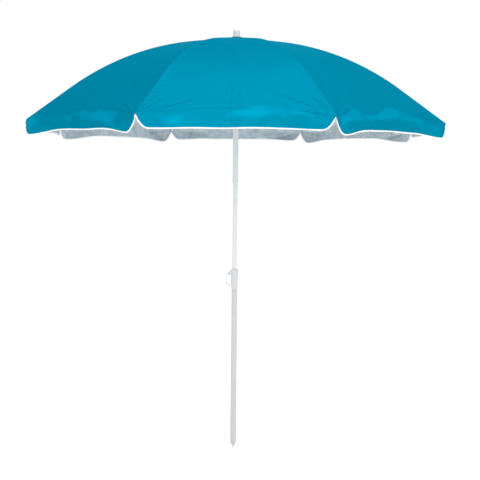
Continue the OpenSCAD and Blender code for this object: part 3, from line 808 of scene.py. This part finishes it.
class CanopyClothOperator(bpy.types.Operator):
    """Sew the canopy: one double-sided panel of cloth over each rib"""

    bl_idname = "umbrella.canopy_cloth"
    bl_label = "Canopy Cloth"

    def execute(self, context):
        scene = context.scene
        cut = scene.umbrella_cut
        canopy = Canopy(scene.umbrella_frame, cut, scene.umbrella_trim)
        outside = outside_cloth(tuple(scene.umbrella_finish.cloth))
        inside = inside_cloth(tuple(scene.umbrella_finish.coating))
        rows = canopy.rows()
        for rib in RIBS:
            points, normals, across = canopy.panel(rib)
            shares = np.broadcast_to(rows[:, None], across.shape)
            r = cut.eyelet + (canopy.seam_r(1 - np.abs(across) / across.max()) - cut.eyelet) * shares
            along = canopy.arc(np.minimum(r, canopy.tip_r)) + np.clip(shares - 1, 0, 1) * VALANCE
            across = across * np.minimum(r / canopy.tip_r, 1)
            past_seam = (shares - 1) * np.where(shares < 1, GORE_LENGTH, VALANCE)
            mesh = grid_mesh(f"canopy_panel_{rib}", points, normals, cut.thickness,
                             across, along, past_seam)
            panel = add_object(f"canopy_panel_{rib}", mesh, outside, inside)
            gather(panel, rib)
            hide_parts(f"canopy_{rib}")
        return {"FINISHED"}

    @staticmethod
    def area(points):
        a = points[1:, 1:] - points[:-1, :-1]
        b = points[1:, :-1] - points[:-1, 1:]
        return float(np.linalg.norm(np.cross(a, b), axis=-1).sum() / 2)


class HemBindingOperator(bpy.types.Operator):
    """Fold a tape over the hem of every panel and up into its notch"""

    bl_idname = "umbrella.hem_binding"
    bl_label = "Hem Binding"

    def execute(self, context):
        scene = context.scene
        trim = scene.umbrella_trim
        canopy = Canopy(scene.umbrella_frame, scene.umbrella_cut, trim)
        tape = binding_tape(tuple(scene.umbrella_finish.tape))
        for rib in RIBS:
            points, normals, _ = canopy.panel(rib)
            mesh = self.fold(f"hem_binding_{rib}", points[-1], normals[-1], trim)
            piece = add_object(f"hem_binding_{rib}", mesh, tape)
            gather(piece, rib)
        return {"FINISHED"}

    @staticmethod
    def fold(name, line, off, trim):
        """A flat, round-edged tube that follows the hem."""
        sides = 12
        ahead = np.gradient(line, axis=0)
        ahead /= np.linalg.norm(ahead, axis=1, keepdims=True)
        up = np.cross(ahead, off)
        up /= np.linalg.norm(up, axis=1, keepdims=True)
        turns = np.arange(sides) / sides * 2 * math.pi
        high = np.sign(np.sin(turns)) * np.abs(np.sin(turns)) ** 0.7 * trim.binding_height / 2
        thick = np.sign(np.cos(turns)) * np.abs(np.cos(turns)) ** 0.7 * trim.binding_thickness / 2
        centre = line + up * trim.binding_height * 0.12
        rings = (centre[:, None] + up[:, None] * high[None, :, None]
                 + off[:, None] * thick[None, :, None])
        count = len(line)
        index = np.arange(count * sides).reshape(count, sides)
        nxt = np.roll(index, -1, 1)
        walls = np.stack([index[:-1], nxt[:-1], nxt[1:], index[1:]], -1).reshape(-1, 4)
        mesh = bpy.data.meshes.new(name)
        mesh.from_pydata(rings.reshape(-1, 3).tolist(), [],
                         walls.tolist() + [index[0, ::-1].tolist(), index[-1].tolist()])
        mesh.polygons.foreach_set("use_smooth", np.ones(len(mesh.polygons), bool))
        travelled = np.concatenate([[0], np.cumsum(np.linalg.norm(np.diff(line, axis=0), axis=1))])
        around = np.broadcast_to(np.arange(sides) / sides, (count, sides))
        along = np.broadcast_to(travelled[:, None], (count, sides))
        uv = np.stack([around.reshape(-1), along.reshape(-1)], -1)
        loops = np.zeros(len(mesh.loops), int)
        mesh.loops.foreach_get("vertex_index", loops)
        mesh.uv_layers.new(name="tape").data.foreach_set("uv", uv[loops].reshape(-1))
        work = bmesh.new()
        work.from_mesh(mesh)
        bmesh.ops.recalc_face_normals(work, faces=work.faces)
        work.to_mesh(mesh)
        work.free()
        return mesh


class RibTiesOperator(bpy.types.Operator):
    """Tie the cloth to each rib with loops of thread"""

    bl_idname = "umbrella.rib_ties"
    bl_label = "Rib Ties"

    def execute(self, context):
        scene = context.scene
        line, trim = scene.umbrella_frame, scene.umbrella_trim
        canopy = Canopy(line, scene.umbrella_cut, trim)
        thread = tie_cord(tuple(scene.umbrella_finish.tape))
        tie = self.loop(line, trim)
        for rib in RIBS:
            outward, sideways, body = rib_frame(rib)
            for number, share in enumerate(TIE_SHARES):
                r = canopy.tip_r * share
                slope = float(canopy.rib_slope(np.array(r)))
                way = outward * math.cos(slope) - Vector((0, 0, math.sin(slope)))
                top = sideways.cross(way) * -1
                place = outward * r + Vector((0, 0, float(canopy.rib_z(np.array(r)))))
                turn = Matrix((way, sideways, top)).transposed().to_4x4()
                mesh = tie.copy()
                mesh.transform(Matrix.Translation(place) @ turn)
                piece = add_object(f"rib_tie_{rib}_{number + 1}", mesh, thread)
                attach(piece, body)
        bpy.data.meshes.remove(tie)
        return {"FINISHED"}

    @staticmethod
    def loop(line, trim):
        """Three turns of thread round a rib, and a knot under it."""
        made = []
        for turn in (-1, 0, 1):
            bpy.ops.object.select_all(action="DESELECT")
            bpy.ops.mesh.primitive_torus_add(
                major_radius=line.rib_height / 2 + trim.tie_thread * 1.2,
                minor_radius=trim.tie_thread, major_segments=28, minor_segments=8,
                location=(turn * trim.tie_thread * 2.1, 0, 0), rotation=(0, math.pi / 2, 0))
            ring = bpy.context.active_object
            bpy.ops.object.mode_set(mode="EDIT")
            bpy.ops.mesh.select_all(action="SELECT")
            bpy.ops.transform.resize(value=(1, 1.22, 1.12))
            bpy.ops.object.mode_set(mode="OBJECT")
            made.append(ring)
        bpy.ops.object.select_all(action="DESELECT")
        bpy.ops.mesh.primitive_ico_sphere_add(
            subdivisions=2, radius=trim.tie_thread * 2.6,
            location=(0, 0, -line.rib_height / 2 - trim.tie_thread * 2.4))
        made.append(bpy.context.active_object)
        bpy.ops.object.select_all(action="DESELECT")
        for piece in made:
            piece.select_set(True)
        bpy.context.view_layer.objects.active = made[0]
        bpy.ops.object.join()
        whole = bpy.context.active_object
        bpy.ops.object.transform_apply(location=True, rotation=True, scale=True)
        bpy.ops.object.shade_smooth()
        mesh = whole.data.copy()
        bpy.data.objects.remove(whole)
        return mesh


class FrameFinishOperator(bpy.types.Operator):
    """Give the pole, the hardware and the ribs their finishes"""

    bl_idname = "umbrella.frame_finish"
    bl_label = "Frame Finish"

    def execute(self, context):
        finish = context.scene.umbrella_finish
        plastic = tuple(finish.plastic)
        finishes = {
            "pole_enamel": pole_enamel("umbrella_pole_enamel", tuple(finish.enamel)),
            "white_plastic": moulded_plastic("umbrella_white_plastic", "white_plastic", plastic),
            "dark_plastic": moulded_plastic(
                "umbrella_dark_plastic", "dark_plastic", (0.03, 0.032, 0.035), 1200.0, 0.5),
            "bright_steel": drawn_steel(
                "umbrella_bright_steel", "bright_steel", (0.62, 0.63, 0.64)),
            "rib_steel": drawn_steel(
                "umbrella_rib_steel", "rib_steel", (0.66, 0.68, 0.69), 0.75),
        }
        # painted light: the upper tube gets a lighter copy of the pole enamel
        upper = pole_enamel("umbrella_upper_enamel", tuple(finish.upper_lit_enamel))
        # painted light: the finial gets a lighter copy of the white plastic, for the light on top of the umbrella
        cap = moulded_plastic("umbrella_finial", "white_plastic", shade(plastic, 1.22),
                              relief=0.00001)
        slots = {part["node"]: part["material_slot"] for part in frame["record"]["subparts"]}
        for name, node in frame["nodes"].items():
            made = finishes.get(slots[name])
            if made is None:
                continue
            made = {"upper_tube": upper, "finial": cap}.get(name, made)
            for slot in node.material_slots:
                slot.material = made.material
        return {"FINISHED"}


class StudioOperator(bpy.types.Operator):
    """Set up the pale floor, the soft light and the camera"""

    bl_idname = "umbrella.studio"
    bl_label = "Studio"

    def execute(self, context):
        stage = context.scene.umbrella_stage
        self.floor()
        self.world(context.scene, stage.daylight)
        self.light("key_light", stage.key, 3.0, (0.8, -4.4, 2.6), (0, 0, 1.2))
        self.light("top_light", stage.top, 3.5, (0.4, -0.6, 4.4), (0, 0, 1.3))
        self.camera(context.scene, stage)
        context.scene.view_settings.view_transform = "Standard"
        return {"FINISHED"}

    @staticmethod
    def floor():
        bpy.ops.object.select_all(action="DESELECT")
        bpy.ops.mesh.primitive_plane_add(size=80.0, location=(0, 0, 0))
        floor = bpy.context.active_object
        floor.name = "studio_floor"
        m = Maker("studio_floor", "")
        grain = m.noise(m.place(), 3.0)
        m.set(Base_Color=m.mix(grain, (0.86, 0.86, 0.86), (0.88, 0.88, 0.88)), Roughness=0.9,
              Specular_IOR_Level=0.0, Emission_Color=(1, 1, 1, 1), Emission_Strength=0.50)
        floor.data.materials.append(m.material)

    @staticmethod
    def world(scene, strength):
        world = bpy.data.worlds.new("studio_light")
        world.use_nodes = True
        nodes, links = world.node_tree.nodes, world.node_tree.links
        nodes.clear()
        soft, seen = nodes.new("ShaderNodeBackground"), nodes.new("ShaderNodeBackground")
        soft.inputs[0].default_value = (1.0, 1.0, 1.0, 1)
        soft.inputs[1].default_value = strength
        seen.inputs[0].default_value = (1, 1, 1, 1)
        seen.inputs[1].default_value = 1.0
        path, pick = nodes.new("ShaderNodeLightPath"), nodes.new("ShaderNodeMixShader")
        output = nodes.new("ShaderNodeOutputWorld")
        links.new(path.outputs["Is Camera Ray"], pick.inputs[0])
        links.new(soft.outputs[0], pick.inputs[1])
        links.new(seen.outputs[0], pick.inputs[2])
        links.new(pick.outputs[0], output.inputs[0])
        scene.world = world

    @staticmethod
    def light(name, power, size, place, target):
        data = bpy.data.lights.new(name, "AREA")
        data.energy, data.size, data.shape = power, size, "DISK"
        lamp = bpy.data.objects.new(name, data)
        lamp.location = place
        way = Vector(target) - Vector(place)
        lamp.rotation_euler = way.to_track_quat("-Z", "Y").to_euler()
        bpy.context.scene.collection.objects.link(lamp)

    @staticmethod
    def camera(scene, stage):
        data = bpy.data.cameras.new("camera")
        data.lens, data.sensor_width, data.shift_y = stage.lens, 36.0, stage.shift
        camera = bpy.data.objects.new("camera", data)
        turn = (Matrix.Rotation(stage.yaw, 4, "Z") @ Matrix.Rotation(math.pi / 2 - stage.pitch, 4, "X")
                @ Matrix.Rotation(stage.roll, 4, "Z"))
        camera.matrix_world = Matrix.Translation((0.0014, -stage.distance, stage.height)) @ turn
        scene.collection.objects.link(camera)
        scene.camera = camera


class UmbrellaPanel(bpy.types.Panel):
    """The umbrella's sizes, colours and steps"""

    bl_idname = "VIEW3D_PT_umbrella"
    bl_label = "Beach Umbrella"
    bl_space_type = "VIEW_3D"
    bl_region_type = "UI"
    bl_category = "Umbrella"

    def draw(self, context):
        for name, group in GROUPS.items():
            box = self.layout.box()
            for prop in group.__annotations__:
                box.prop(getattr(context.scene, name), prop)
        for step in STEPS:
            self.layout.operator(step.bl_idname)


STEPS = (CanopyClothOperator, HemBindingOperator, RibTiesOperator, FrameFinishOperator,
         StudioOperator)
CLASSES = (*GROUPS.values(), *STEPS, UmbrellaPanel)


def register():
    for cls in CLASSES:
        bpy.utils.register_class(cls)
    for name, group in GROUPS.items():
        setattr(bpy.types.Scene, name, PointerProperty(type=group))


def unregister():
    for name in GROUPS:
        delattr(bpy.types.Scene, name)
    for cls in reversed(CLASSES):
        bpy.utils.unregister_class(cls)


def main():
    register()
    bpy.ops.umbrella.canopy_cloth()
    bpy.ops.umbrella.hem_binding()
    bpy.ops.umbrella.rib_ties()
    bpy.ops.umbrella.frame_finish()
    bpy.ops.umbrella.studio()


if __name__ == "__main__":
    main()
